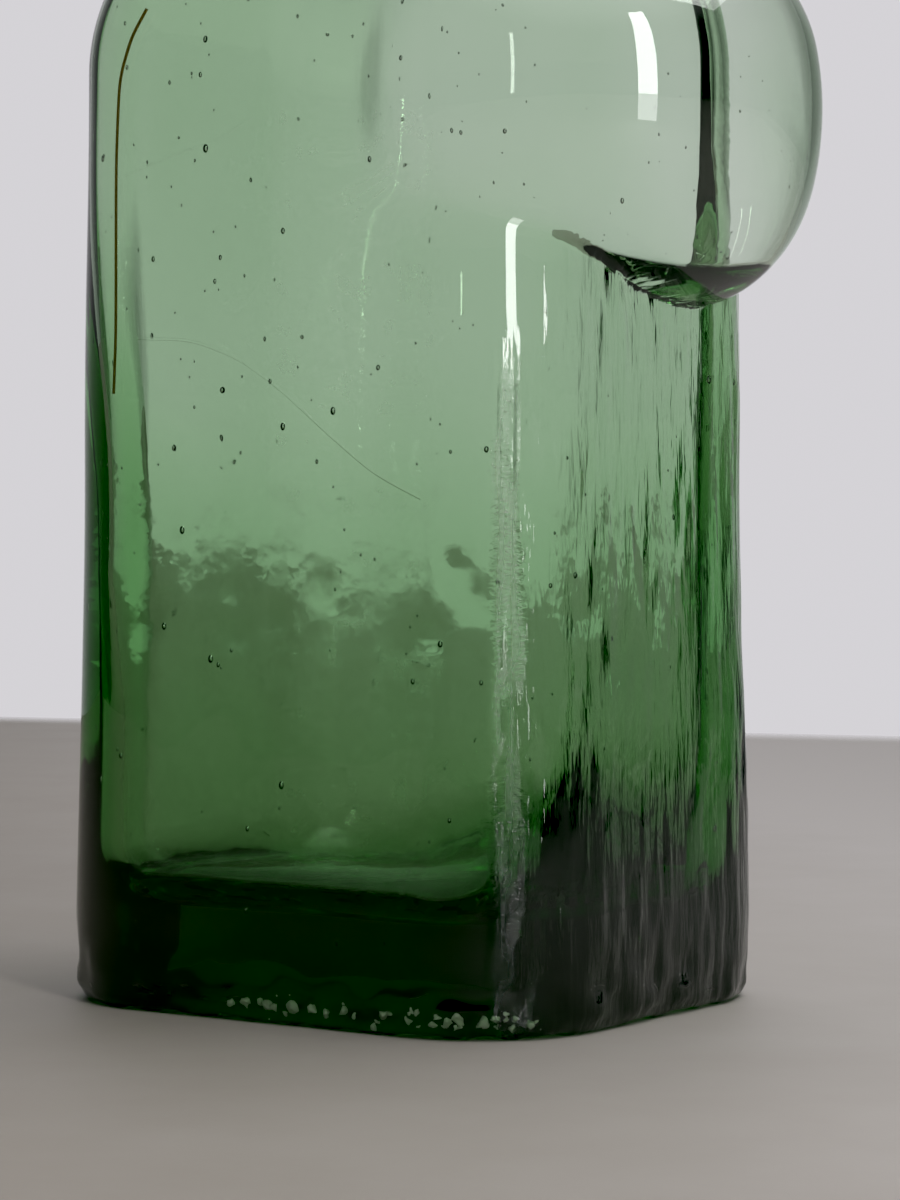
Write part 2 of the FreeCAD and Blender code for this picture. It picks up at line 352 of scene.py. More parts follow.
def inside_gap(x, y, z):
    """Hollow of the bottle, with the floor's round edge."""
    level = np.minimum(z, BODY_HEIGHT)
    offset = side_offset(level) - wall_thickness(level)
    up = np.clip(FLOOR_RADIUS - (z - BASE_THICKNESS), 0, FLOOR_RADIUS)
    offset = offset - (FLOOR_RADIUS - np.sqrt(FLOOR_RADIUS**2 - up * up))
    heavy = HEAVY_SIDE * smooth((HEAVY_HIGH - z) / (HEAVY_HIGH - HEAVY_LOW))
    gathered = CORNER_WALL - wall_thickness(z)
    gathered = 0.6 + (gathered - 0.6) * smooth((GATHERED_HIGH - z) / (GATHERED_HIGH - GATHERED_LOW))
    right = smooth((x - 10) / 25)
    left = smooth((-x - 10) / 25)
    shifted = x + (heavy + 1.05 * gathered * smooth((y - GATHERED_EDGE) / GATHERED_RUN)) * right
    shifted = shifted - gathered * left * smooth((-y - GATHERED_EDGE) / GATHERED_RUN)
    offset = offset + BUBBLE_THINS * right * smooth((z - THINS_LOW) / SWEEP_RUN)
    body = body_gap(shifted, y, z, offset, DOME_HEIGHT - WALL_TOP, corner_trim(x, y, z))
    bore = np.where(z > BODY_HEIGHT, np.hypot(x, y) - BORE_RADIUS, 1e3)
    body = soft_union(body, bore, BORE_BLEND)
    rise = BUBBLE_RISE - BUBBLE_WALL
    bubble, turn = bubble_gap(x, y, z, INNER_BUBBLE, rise, rise)
    aside = seen_place(x, y)[0] - FLOOR_LOWEST
    bowl = BUBBLE_FLOOR_RISE * (1 - np.exp(-aside * aside / 220))
    bubble = -soft_union(-bubble, z - BUBBLE_FLOOR - bowl, 1.6)
    return soft_union(body, bubble, fold_reach(turn, z) + 0.4)


# Rings of the skin

def column_marks(count, weights):
    """Points round the foot's outline, closer where the weights are higher."""
    steps = 4000
    turns = np.linspace(0, 2 * math.pi, steps, endpoint=False)
    far = np.linspace(0, BODY_WIDTH, 400)[:, None]
    px = far * np.cos(turns)
    py = far * np.sin(turns)
    gap = body_gap(px, py, np.zeros_like(px), 0.0, DOME_HEIGHT)
    inside = np.argmax(gap > 0, axis=0)
    radius = far[inside, 0]
    x = radius * np.cos(turns)
    y = radius * np.sin(turns)
    length = np.hypot(np.diff(x, append=x[0]), np.diff(y, append=y[0]))
    dense = weights(x, y) * length
    along = np.concatenate([[0], np.cumsum(dense)])
    wanted = np.arange(count) / count * along[-1]
    place = np.interp(wanted, along, np.arange(steps + 1))
    x = np.append(x, x[0])
    y = np.append(y, y[0])
    return np.interp(place, np.arange(steps + 1), x), np.interp(place, np.arange(steps + 1), y)


def outside_weights(x, y):
    """Closest columns on the bubble's side, where the mould's grain shows."""
    face = smooth((x - 20) / 20)
    near = smooth((-y - 20) / 12)
    return 0.75 + 1.3 * face + 0.45 * near


RING_CENTRE_LOW = 10.0
RING_CENTRE_HIGH = 30.0


def ring_centre(z):
    """Where the rays of a ring start: inside the bubble's root, and on the axis at the neck."""
    rise = np.clip((z - BODY_HEIGHT) / DOME_HEIGHT, 0, 1)
    reach = RING_CENTRE_LOW + (RING_CENTRE_HIGH - RING_CENTRE_LOW) * smooth((z - 30) / 60)
    return reach * (1 - rise * rise) ** 1.4


def cast_ring(gap_at, z, marks):
    """Ring of points where rays from the ring's centre leave the shape at height z."""
    mark_x, mark_y = marks
    centre = ring_centre(z)
    dx = mark_x - centre
    dy = mark_y
    size = np.hypot(dx, dy)
    dx = dx / size
    dy = dy / size
    far = np.linspace(0, 110, 180)[:, None]
    inside = gap_at(centre + far * dx, far * dy, np.full_like(far * dx, z)) < 0
    last = len(far) - 1 - np.argmax(inside[::-1], axis=0)
    low = far[last, 0]
    high = low + far[1, 0]
    for _ in range(18):
        middle = (low + high) / 2
        within = gap_at(centre + middle * dx, middle * dy, np.full_like(dx, z)) < 0
        low = np.where(within, middle, low)
        high = np.where(within, high, middle)
    return np.stack([centre + low * dx, low * dy, np.full_like(dx, z)], 1)


def round_ring(radius, z, marks):
    """Round ring on the neck's axis."""
    turns = np.arctan2(marks[1], marks[0])
    return np.stack([radius * np.cos(turns), radius * np.sin(turns), np.full_like(turns, z)], 1)


def flat_rings(rim, count, hollow_radius, hollow_depth, upwards):
    """Rings that close a level face inside its rim, with a shallow hollow in the middle."""
    rings = []
    turns = np.arctan2(rim[:, 1], rim[:, 0])
    reach = np.hypot(rim[:, 0], rim[:, 1])
    for step in range(1, count):
        share = 1 - (step / count) ** 1.4
        blend = smooth(share)
        radius = share * (blend * reach + (1 - blend) * reach.min())
        dip = np.clip(1 - (radius / hollow_radius) ** 2, 0, 1) * hollow_depth
        z = rim[:, 2] + upwards * dip
        rings.append(np.stack([radius * np.cos(turns), radius * np.sin(turns), z], 1))
    return rings


def arc_steps(count):
    """Sines and cosines from 0 to a right angle, without the first."""
    turns = np.linspace(0, math.pi / 2, count + 1)[1:]
    return list(zip(np.sin(turns), np.cos(turns)))


def outside_levels():
    """Heights of the outside's rings, closest where the bubble starts and ends."""
    low = list(np.arange(HEEL_RADIUS, 103.4, 1.6))
    turns = np.linspace(-math.pi / 2, math.pi / 2, 74)
    bubble = list(BUBBLE_MIDDLE + (BUBBLE_RISE + 0.35) * np.sin(turns))
    rises = np.linspace(math.asin(0.55), math.radians(81.0), 18)
    shoulder = list(BODY_HEIGHT + DOME_HEIGHT * np.sin(rises))
    neck = list(np.linspace(CROWN, MOUTH - COLLAR_HEIGHT - 0.4, 14))
    levels = low + [z for z in bubble if z > low[-1] + 0.5]
    levels += [z for z in shoulder if z > levels[-1] + 0.5]
    return levels + neck


def inside_levels():
    """Heights of the inside's rings from the mouth down to the floor's round edge."""
    neck = list(np.linspace(MOUTH - MOUTH_EDGE - 1.0, CROWN - 1.0, 12))
    rises = np.linspace(math.radians(76.0), math.asin(0.60), 16)
    shoulder = list(BODY_HEIGHT + (DOME_HEIGHT - WALL_TOP) * np.sin(rises))
    turns = np.linspace(math.pi / 2, -math.pi / 2, 48)
    floor = list(np.arange(BUBBLE_FLOOR + BUBBLE_FLOOR_RISE + 0.6, BUBBLE_FLOOR - 1.0, -0.26))
    bubble = BUBBLE_MIDDLE + (BUBBLE_RISE - BUBBLE_WALL + 0.4) * np.sin(turns)
    bubble = [z for z in bubble if floor[0] + 0.3 < z < shoulder[-1] - 0.5] + floor
    low = list(np.arange(bubble[-1] - 1.8, BASE_THICKNESS + FLOOR_RADIUS, -1.3))
    edge = [BASE_THICKNESS + FLOOR_RADIUS * (1 - s) for s, _ in arc_steps(9)]
    return neck + shoulder + bubble + low + edge


def outside_rings(marks):
    """Outside, from under the foot to the top of the neck."""
    foot = cast_ring(outside_gap, 0.0, marks)
    heel = []
    for sine, cosine in arc_steps(5):
        inset = HEEL_RADIUS * (1 - sine)
        z = HEEL_RADIUS * (1 - cosine)
        full = cast_ring(outside_gap, z, marks)
        arms = full[:, :2]
        reach = np.hypot(arms[:, 0], arms[:, 1])
        ring = full.copy()
        ring[:, :2] = arms * ((reach - inset) / reach)[:, None]
        heel.append(ring)
    arms = foot[:, :2]
    reach = np.hypot(arms[:, 0], arms[:, 1])
    rim = foot.copy()
    rim[:, :2] = arms * ((reach - HEEL_RADIUS) / reach)[:, None]
    under = flat_rings(rim, 28, PUNT_RADIUS, PUNT_DEPTH, 1)
    rings = under[::-1] + [rim] + heel
    for z in outside_levels()[1:]:
        rings.append(cast_ring(outside_gap, z, marks))
    return rings


def collar_rings(marks):
    """Collar, lip and the inside edge of the mouth."""
    rings = []
    under = MOUTH - COLLAR_HEIGHT
    ring_radius = COLLAR_RADIUS - COLLAR_EDGE
    rings.append(round_ring(NECK_RADIUS + 0.25, under - 0.1, marks))
    rings.append(round_ring(ring_radius, under, marks))
    for sine, cosine in arc_steps(6):
        rings.append(
            round_ring(ring_radius + COLLAR_EDGE * sine, under + COLLAR_EDGE * (1 - cosine), marks)
        )
    top = MOUTH - COLLAR_EDGE
    rings.append(round_ring(COLLAR_RADIUS, top, marks))
    for sine, cosine in arc_steps(6):
        rings.append(
            round_ring(ring_radius + COLLAR_EDGE * cosine, top + COLLAR_EDGE * sine, marks)
        )
    lip = BORE_RADIUS + MOUTH_EDGE
    rings.append(round_ring((ring_radius + lip) / 2, MOUTH, marks))
    rings.append(round_ring(lip, MOUTH, marks))
    for sine, cosine in arc_steps(4):
        rings.append(round_ring(lip - MOUTH_EDGE * sine, MOUTH - MOUTH_EDGE * (1 - cosine), marks))
    return rings


def inside_rings(marks):
    """Hollow, from the bore down to the middle of the floor."""
    rings = [cast_ring(inside_gap, z, marks) for z in inside_levels()]
    return rings + flat_rings(rings[-1], 14, 1.0, 0.0, 1)


# Uneven glass

def lattice_noise(points, cell, seed):
    """Smooth noise from -1 to 1 on a lattice of the given cell, in millimetres."""
    table = np.random.default_rng(seed).uniform(-1, 1, 4096)
    place = points / np.asarray(cell, float)
    base = np.floor(place).astype(np.int64)
    part = place - base
    part = part * part * part * (part * (part * 6 - 15) + 10)
    total = np.zeros(len(points))
    for corner in range(8):
        step = np.array([corner & 1, corner >> 1 & 1, corner >> 2 & 1])
        at = base + step
        index = (at[:, 0] * 73856093) ^ (at[:, 1] * 19349663) ^ (at[:, 2] * 83492791)
        weight = np.prod(np.where(step == 1, part, 1 - part), axis=1)
        total += weight * table[np.mod(index, len(table))]
    return total


def seen_place(x, y):
    """Places across and towards the photograph's camera."""
    return COSINE * x + SINE * y, SINE * x - COSINE * y


def mould_grain(p, normal):
    """Where the mould's grain marks the outside: 1 on the +X wall and the near corner, low down."""
    x, _, z = p.T
    turn = np.arctan2(normal[:, 1], normal[:, 0])
    bubble = smooth((x - 45.2) / 1.5) * smooth((z - 96) / 5)
    side = smooth((turn + 1.02) / 0.2) * smooth((1.5 - turn) / 0.6) * (1 - bubble)
    corner = smooth((-0.45 - turn) / 0.15)
    return side * (1 - smooth((z - np.where(corner > 0.5, 93, 108)) / 9))


def outside_relief(p, normal):
    """How far the outside stands proud of its true form."""
    x, y, z = p.T
    on_body = smooth(z / 1.5) * (1 - smooth((z - BODY_HEIGHT - 25) / 20))
    bubble = smooth((x - 46) / 6) * smooth((z - 100) / 8)
    low = 1 - smooth((z - 4) / 10)
    relief = 0.14 * lattice_noise(p, (26, 26, 34), 3) - 0.06
    relief += 0.04 * lattice_noise(p, (9, 9, 16), 4)
    relief += low * (HEEL_RELIEF * lattice_noise(p, (4.6, 4.6, 3.6), 7) - 0.45)
    grain = 0.8 * lattice_noise(p, (3.4, 3.0, 16), 5) + lattice_noise(p, (2.2, 1.7, 9), 6)
    grain *= 0.75 + 0.6 * lattice_noise(p, (20, 9, 18), 15)
    relief = relief + GRAIN_DEPTH * mould_grain(p, normal) * grain
    lumps = np.maximum(lattice_noise(p, (3.6, 3.6, 9), 8) + 0.25, 0)
    under = (1 - smooth(z / 0.4)) * smooth((np.hypot(x / 1.15, y) - 22) / 6)
    return relief * on_body * (1 - 0.8 * bubble) - UNDER_RELIEF * lumps * under


def inside_relief(p, normal):
    """How far the inside wall stands into the hollow, with the cords drawn out in the glass."""
    x, y, z = p.T
    on_body = 1 - smooth((z - BODY_HEIGHT) / 20)
    bubble = smooth((x - 42) / 5) * smooth((z - 100) / 8)
    chilled = smooth((z - 18) / 12) * (1 - smooth((z - 66) / 22))
    relief = 0.14 * lattice_noise(p, (24, 24, 30), 11)
    relief += 0.08 * lattice_noise(p, (8, 8, 13), 12)
    relief += RIPPLE_DEPTH * chilled * lattice_noise(p, (4.5, 4.5, 6), 13)
    relief += 0.8 * RIPPLE_DEPTH * chilled * lattice_noise(p, (2.4, 2.4, 4.2), 14)
    across, near = seen_place(x, y)
    for place, height, depth, radius in CHILL_DENTS:
        away = ((across - place) ** 2 + ((z - height) / 1.3) ** 2) / radius**2
        relief -= depth * np.exp(-away) * smooth(near / 10)
    return relief * on_body * (1 - 0.85 * bubble)


def ring_normals(rings, outwards):
    """Directions square to a grid of rings."""
    grid = np.stack(rings)
    around = np.roll(grid, -1, 1) - np.roll(grid, 1, 1)
    up = np.gradient(grid, axis=0)
    normal = np.cross(around, up) * outwards
    size = np.linalg.norm(normal, axis=2, keepdims=True)
    return normal / np.maximum(size, 1e-9)


def roughen(rings, relief, outwards):
    """Moves each ring's points along the skin's normal by the relief."""
    normals = ring_normals(rings, outwards)
    grid = np.stack(rings)
    flat = grid.reshape(-1, 3)
    height = relief(flat, normals.reshape(-1, 3) * outwards).reshape(grid.shape[:2])
    moved = grid + normals * height[:, :, None]
    return list(moved)


# Meshes

def smooth_piece(name, vertices, faces):
    """Smoothly shaded object from vertices in metres."""
    mesh = bpy.data.meshes.new(name)
    mesh.from_pydata([tuple(v) for v in vertices], [], faces)
    mesh.update()
    mesh.polygons.foreach_set("use_smooth", [True] * len(mesh.polygons))
    piece = bpy.data.objects.new(name, mesh)
    scene.collection.objects.link(piece)
    return piece


def closed_skin(name, stacks):
    """Closed mesh from stacks of rings, whose counts may halve from one stack to the next."""
    vertices = []
    faces = []
    previous = None
    for stack in stacks:
        for ring in stack:
            start = len(vertices)
            vertices.extend(ring * MM)
            count = len(ring)
            if previous is not None:
                old_start, old_count = previous
                if old_count == count:
                    for i in range(count):
                        j = (i + 1) % count
                        faces.append((old_start + i, old_start + j, start + j, start + i))
                else:
                    for i in range(count):
                        j = (i + 1) % count
                        a, b, c = 2 * i, 2 * i + 1, (2 * i + 2) % old_count
                        faces.append((old_start + a, old_start + b, start + i))
                        faces.append((old_start + b, start + j, start + i))
                        faces.append((old_start + b, old_start + c, start + j))
            previous = (start, count)
    first_count = len(stacks[0][0])
    last_start, last_count = previous
    vertices.append(np.mean(vertices[:first_count], axis=0))
    low_pole = len(vertices) - 1
    vertices.append(np.mean(vertices[last_start : last_start + last_count], axis=0))
    high_pole = len(vertices) - 1
    for i in range(first_count):
        faces.append((low_pole, (i + 1) % first_count, i))
    for i in range(last_count):
        j = (i + 1) % last_count
        faces.append((high_pole, last_start + i, last_start + j))
    return smooth_piece(name, vertices, faces)


def banded_skin(name, rings):
    """Closed mesh from rings whose last one joins the first."""
    count = len(rings[0])
    faces = []
    for k in range(len(rings)):
        start = k * count
        after = (k + 1) % len(rings) * count
        for i in range(count):
            j = (i + 1) % count
            faces.append((start + i, start + j, after + j, after + i))
    return smooth_piece(name, np.concatenate(rings) * MM, faces)


def mark_skin(skin, name, values):
    """Gives every vertex of the skin a number that the glass's material reads."""
    attribute = skin.data.attributes.new(name, "FLOAT", "POINT")
    padded = np.zeros(len(skin.data.vertices))
    padded[: len(values)] = values
    attribute.data.foreach_set("value", padded.astype(np.float32))


def bottle_skin():
    """The bottle's glass as one closed skin."""
    fine = column_marks(348, outside_weights)
    coarse = (fine[0][::2], fine[1][::2])
    outside = roughen(outside_rings(fine), outside_relief, 1)
    split = next(i for i, ring in enumerate(outside) if ring[:, 2].min() > 168.0)
    shoulder = [ring[::2] for ring in outside[split:]]
    hollow = inside_rings(coarse)
    inside = roughen(hollow, inside_relief, -1)
    stacks = [outside[:split], shoulder, collar_rings(coarse), inside]
    skin = closed_skin("bottle_glass", stacks)
    outer = np.concatenate(outside[:split])
    normals = ring_normals(outside[:split], 1).reshape(-1, 3)
    mark_skin(skin, "grain", mould_grain(outer, normals))
    turn = np.arctan2(normals[:, 1], normals[:, 0])
    ridge = np.exp(-(((turn + 0.82) / 0.085) ** 2)) * (1 - smooth((outer[:, 2] - 90) / 7))
    mark_skin(skin, "scuff", ridge)
    bubble = smooth((outer[:, 0] - 22) / 6) * smooth((outer[:, 2] - 99) / 6)
    depth = SEED_DEPTH + (SEED_DEPTH_IN_BUBBLE - SEED_DEPTH) * bubble
    mark_skin(skin, "depth", depth * MM * smooth((outer[:, 2] - 8) / 2))
    # where the pale lumps of the heel grow: partly lime, partly painted light for the bright spots
    # under the foot
    heel = smooth((outer[:, 2] - 0.9) / 0.4) * smooth((3.4 - outer[:, 2]) / 0.4)
    heel *= smooth((-outer[:, 1] - 28) / 3) * smooth((outer[:, 0] + 11) / 3)
    mark_skin(skin, "grit_and_glints", GRIT_AND_GLINT_DEPTH * MM * heel)
    before = sum(len(ring) for stack in stacks[:3] for ring in stack)
    inner = np.concatenate(inside)
    chilled = smooth((inner[:, 2] - 16) / 10) * (1 - smooth((inner[:, 2] - 68) / 26))
    far = smooth((-inner[:, 0] - 12) / 12) * smooth((inner[:, 1] - 10) / 12)
    far = 2.2 * far * (1 - smooth((inner[:, 2] - 138) / 14))
    chilled = np.maximum(chilled, far)
    mark_skin(skin, "chilled", np.concatenate([np.zeros(before), chilled]))
    return skin


def peg_radius(z):
    """Radius of the peg at height z, between its root and its tip."""
    root = MOUTH + CORK_PROUD + SEAT_GAP
    return PEG_RADIUS - PEG_TAPER * (root - z) / (CORK_LENGTH + SEAT_GAP + PEG_OVERHANG)


def cork_skin():
    """Tapered cork with crumbled edges and pores, bored for the peg, as one closed band."""
    turns = np.linspace(0, 2 * math.pi, 120, endpoint=False)
    marks = (np.cos(turns), np.sin(turns))
    foot = MOUTH + CORK_PROUD - CORK_LENGTH
    top = foot + CORK_LENGTH
    rings = []
    for z in np.linspace(foot + CORK_EDGE, top - CORK_EDGE, 44):
        radius = CORK_RADIUS - CORK_TAPER * (top - z) / CORK_LENGTH
        rings.append(round_ring(radius, z, marks))
    for sine, cosine in arc_steps(3):
        inset = CORK_EDGE * (1 - cosine)
        rings.append(round_ring(CORK_RADIUS - inset, top - CORK_EDGE * (1 - sine), marks))
    for share in (0.25, 0.5, 0.75):
        outer = CORK_RADIUS - CORK_EDGE
        rings.append(round_ring(outer + (peg_radius(top) + 0.05 - outer) * share, top, marks))
    for z in np.linspace(top, foot, 12):
        rings.append(round_ring(peg_radius(z) + 0.05, z, marks))
    low = CORK_RADIUS - CORK_TAPER
    for share in (0.3, 0.6):
        inner = peg_radius(foot) + 0.05
        rings.append(round_ring(inner + (low - CORK_EDGE - inner) * share, foot, marks))
    for sine, cosine in reversed([(0.0, 1.0)] + arc_steps(3)[:-1]):
        inset = CORK_EDGE * (1 - cosine)
        rings.append(round_ring(low - inset, foot + CORK_EDGE * (1 - sine) - 0.001, marks))
    grid = np.stack(rings)
    flat = grid.reshape(-1, 3)
    reach = np.hypot(flat[:, 0], flat[:, 1])
    outer = smooth((reach - 8.6) / 0.5)
    pores = smooth((lattice_noise(flat, (1.5, 1.5, 0.8), 21) - 0.32) / 0.25)
    pores = np.maximum(pores, smooth((lattice_noise(flat, (0.8, 0.8, 2.2), 22) - 0.5) / 0.2))
    sunk = 1 - CORK_PORES * pores * outer / np.maximum(reach, 1)
    flat[:, :2] *= sunk[:, None]
    skin = banded_skin("cork", list(grid.reshape(len(rings), -1, 3)))
    mark_skin(skin, "pores", pores)
    return skin


def knob_skin():
    """Solid glass ball, flat underneath, on its tapered peg."""
    turns = np.linspace(0, 2 * math.pi, 96, endpoint=False)
    marks = (np.cos(turns), np.sin(turns))
    seat = MOUTH + CORK_PROUD + SEAT_GAP
    tip = seat - SEAT_GAP - CORK_LENGTH - PEG_OVERHANG
    middle = seat + math.sqrt(KNOB_RADIUS**2 - KNOB_SEAT_RADIUS**2)
    profile = [((peg_radius(tip) - PEG_TIP_EDGE) * share, tip) for share in (0.15, 0.4, 0.7, 1.0)]
    profile += [
        (peg_radius(tip) - PEG_TIP_EDGE * (1 - sine), tip + PEG_TIP_EDGE * (1 - cosine))
        for sine, cosine in arc_steps(6)
    ]
    profile += [(peg_radius(z), z) for z in np.linspace(tip + 3, seat - 0.4, 12)]
    profile += [(peg_radius(seat) + 0.02, seat - 0.05), (peg_radius(seat) + 0.4, seat)]
    profile += [(KNOB_SEAT_RADIUS - 1.2, seat), (KNOB_SEAT_RADIUS - 0.25, seat + 0.02)]
    low = -math.acos(KNOB_SEAT_RADIUS / KNOB_RADIUS)
    for turn in np.linspace(low + 0.03, math.radians(88.5), 44):
        profile.append((KNOB_RADIUS * math.cos(turn), middle + KNOB_RADIUS * math.sin(turn)))
    return closed_skin("knob", [[round_ring(radius, z, marks) for radius, z in profile]])


# Geometry Nodes trees

def open_tree(name, inputs):
    """Empty Geometry Nodes tree with named inputs: its input and output nodes, and their keys."""
    tree = bpy.data.node_groups.new(name, "GeometryNodeTree")
    face = tree.interface
    face.new_socket("Geometry", in_out="INPUT", socket_type="NodeSocketGeometry")
    face.new_socket("Geometry", in_out="OUTPUT", socket_type="NodeSocketGeometry")
    keys = {}
    for label, kind in inputs:
        keys[label] = face.new_socket(label, in_out="INPUT", socket_type=kind).identifier
    return tree, tree.nodes.new("NodeGroupInput"), tree.nodes.new("NodeGroupOutput"), keys


def grow(name, mesh, tree, values):
    """Runs the tree on a mesh, and gives the result as a plain object."""
    carrier = bpy.data.objects.new(name + "_carrier", mesh)
    scene.collection.objects.link(carrier)
    modifier = carrier.modifiers.new("grow", "NODES")
    modifier.node_group = tree
    for key, value in values.items():
        modifier[key] = value
    evaluated = carrier.evaluated_get(bpy.context.evaluated_depsgraph_get())
    grown = bpy.data.meshes.new_from_object(evaluated)
    carrier.modifiers.remove(modifier)
    bpy.data.objects.remove(carrier)
    grown.name = name
    grown.polygons.foreach_set("use_smooth", [True] * len(grown.polygons))
    piece = bpy.data.objects.new(name, grown)
    scene.collection.objects.link(piece)
    return piece


def lumps_in_glass(name, bottle, mark, material, sizes):
    """Lumps scattered at the marked depth under the skin, drawn out upwards and made uneven."""
    kinds = ["NodeSocketFloat"] * (len(sizes) - 1) + ["NodeSocketInt"]
    tree, start, end, keys = open_tree(name + "_in_glass", zip(sizes, kinds))
    depth = add_node(tree, "GeometryNodeInputNamedAttribute", {"data_type": "FLOAT", "Name": mark})
    bearing = add_node(
        tree,
        "FunctionNodeCompare",
        {"data_type": "FLOAT", "operation": "GREATER_THAN", "B": 0.0003},
        A=depth.outputs["Attribute"],
    )
    scatter = add_node(
        tree,
        "GeometryNodeDistributePointsOnFaces",
        Mesh=start.outputs["Geometry"],
        Selection=bearing.outputs["Result"],
        Density=start.outputs["Lumps Per Square Metre"],
        Seed=start.outputs["Scatter"],
    )
    luck = add_node(
        tree, "FunctionNodeRandomValue", {"data_type": "FLOAT"}, Seed=start.outputs["Scatter"]
    )
    rare = add_node(tree, "ShaderNodeMath", {"operation": "POWER", 1: 3.0}, _0=luck.outputs[1])
    share = add_node(
        tree,
        "ShaderNodeMapRange",
        Value=rare.outputs[0],
        To_Min=start.outputs["Smallest"],
        To_Max=start.outputs["Largest"],
    )
    radius = add_node(
        tree,
        "ShaderNodeMath",
        {"operation": "MULTIPLY"},
        _0=share.outputs["Result"],
        _1=depth.outputs["Attribute"],
    )
    inwards = add_node(
        tree,
        "ShaderNodeMath",
        {"operation": "MULTIPLY", 1: -1.0},
        _0=depth.outputs["Attribute"],
    )
    sink = add_node(
        tree,
        "ShaderNodeVectorMath",
        {"operation": "SCALE"},
        _0=scatter.outputs["Normal"],
        Scale=inwards.outputs[0],
    )
    placed = add_node(
        tree,
        "GeometryNodeSetPosition",
        Geometry=scatter.outputs["Points"],
        Offset=sink.outputs[0],
    )
    taller = add_node(
        tree,
        "ShaderNodeMath",
        {"operation": "MULTIPLY"},
        _0=radius.outputs[0],
        _1=start.outputs["Drawn Out"],
    )
    size = add_node(
        tree,
        "ShaderNodeCombineXYZ",
        X=radius.outputs[0],
        Y=radius.outputs[0],
        Z=taller.outputs[0],
    )
    ball = add_node(tree, "GeometryNodeMeshUVSphere", {"Segments": 8, "Rings": 6, "Radius": 1.0})
    copies = add_node(
        tree,
        "GeometryNodeInstanceOnPoints",
        Points=placed.outputs["Geometry"],
        Instance=ball.outputs["Mesh"],
        Scale=size.outputs[0],
    )
    real = add_node(tree, "GeometryNodeRealizeInstances", Geometry=copies.outputs["Instances"])
    dents = add_node(tree, "ShaderNodeTexNoise", {"Scale": 1 / 0.0008, "Detail": 1.0})
    about_nought = add_node(
        tree,
        "ShaderNodeVectorMath",
        {"operation": "SUBTRACT", 1: (0.5, 0.5, 0.5)},
        _0=dents.outputs["Color"],
    )
    push = add_node(
        tree,
        "ShaderNodeVectorMath",
        {"operation": "SCALE"},
        _0=about_nought.outputs[0],
        Scale=start.outputs["Uneven"],
    )
    lumpy = add_node(
        tree,
        "GeometryNodeSetPosition",
        Geometry=real.outputs["Geometry"],
        Offset=push.outputs[0],
    )
    dressed = add_node(
        tree, "GeometryNodeSetMaterial", {"Material": material}, Geometry=lumpy.outputs["Geometry"]
    )
    tree.links.new(dressed.outputs["Geometry"], end.inputs["Geometry"])
    return grow(name, bottle.data, tree, {keys[label]: size for label, size in sizes.items()})


def thread_in_glass(name, places, radius, material):
    """Thread drawn out in the glass of the -Y wall along the places given."""
    tree, start, end, keys = open_tree(name, (("Radius", "NodeSocketFloat"),))
    path = add_node(tree, "GeometryNodeMeshToCurve", Mesh=start.outputs["Geometry"])
    section = add_node(
        tree,
        "GeometryNodeCurvePrimitiveCircle",
        {"Resolution": 8},
        Radius=start.outputs["Radius"],
    )
    drawn = add_node(
        tree,
        "GeometryNodeCurveToMesh",
        {"Fill Caps": True},
        Curve=path.outputs["Curve"],
        Profile_Curve=section.outputs["Curve"],
    )
    real = add_node(tree, "GeometryNodeRealizeInstances", Geometry=drawn.outputs["Mesh"])
    dressed = add_node(
        tree, "GeometryNodeSetMaterial", {"Material": material}, Geometry=real.outputs["Geometry"]
    )
    tree.links.new(dressed.outputs["Geometry"], end.inputs["Geometry"])
    known = np.array(places, float)
    share = np.linspace(0, len(known) - 1, 90)
    x, z = (np.interp(share, np.arange(len(known)), known[:, i]) for i in (0, 1))
    for _ in range(12):
        x[1:-1], z[1:-1] = (x[:-2] + x[2:]) / 2, (z[:-2] + z[2:]) / 2
    y = -(BODY_DEPTH / 2 + side_offset(np.minimum(z, BODY_HEIGHT)) - CORD_DEPTH)
    points = np.stack([x, y + 0.03 * np.maximum(z - BODY_HEIGHT, 0), z], 1)
    mesh = bpy.data.meshes.new(name)
    edges = [(i, i + 1) for i in range(len(points) - 1)]
    mesh.from_pydata([tuple(p) for p in points * MM], edges, [])
    return grow(name, mesh, tree, {keys["Radius"]: radius * MM})


# Materials

def linear(code):
    """sRGB hex colour as linear red, green, blue and alpha."""
    parts = [int(code[i : i + 2], 16) / 255 for i in (1, 3, 5)]
    return (*[v / 12.92 if v <= 0.04045 else ((v + 0.055) / 1.055) ** 2.4 for v in parts], 1.0)


def add_node(tree, kind, settings=None, **links):
    """Adds a node, sets its properties and sockets, and links sockets named in links."""
    node = tree.nodes.new(kind)
    for key, value in (settings or {}).items():
        if isinstance(key, str) and hasattr(node, key):
            setattr(node, key, value)
        else:
            node.inputs[key].default_value = value
    for name, source in links.items():
        key = int(name[1:]) if name[0] == "_" and name[1:].isdigit() else name.replace("_", " ")
        tree.links.new(source, node.inputs[key])
    return node


def fill_ramp(ramp, stops):
    """Gives a colour ramp its stops."""
    while len(ramp.elements) < len(stops):
        ramp.elements.new(1.0)
    for element, (place, colour) in zip(ramp.elements, stops):
        element.position = place
        element.color = colour


def new_material(name):
    """Empty node material and its output node."""
    material = bpy.data.materials.new(name)
    material.use_nodes = True
    tree = material.node_tree
    tree.nodes.clear()
    return material, tree, tree.nodes.new("ShaderNodeOutputMaterial")


def plain_material(name, settings):
    """Material that is the same all over."""
    material, tree, output = new_material(name)
    shader = add_node(tree, "ShaderNodeBsdfPrincipled", settings)
    tree.links.new(shader.outputs["BSDF"], output.inputs["Surface"])
    return material


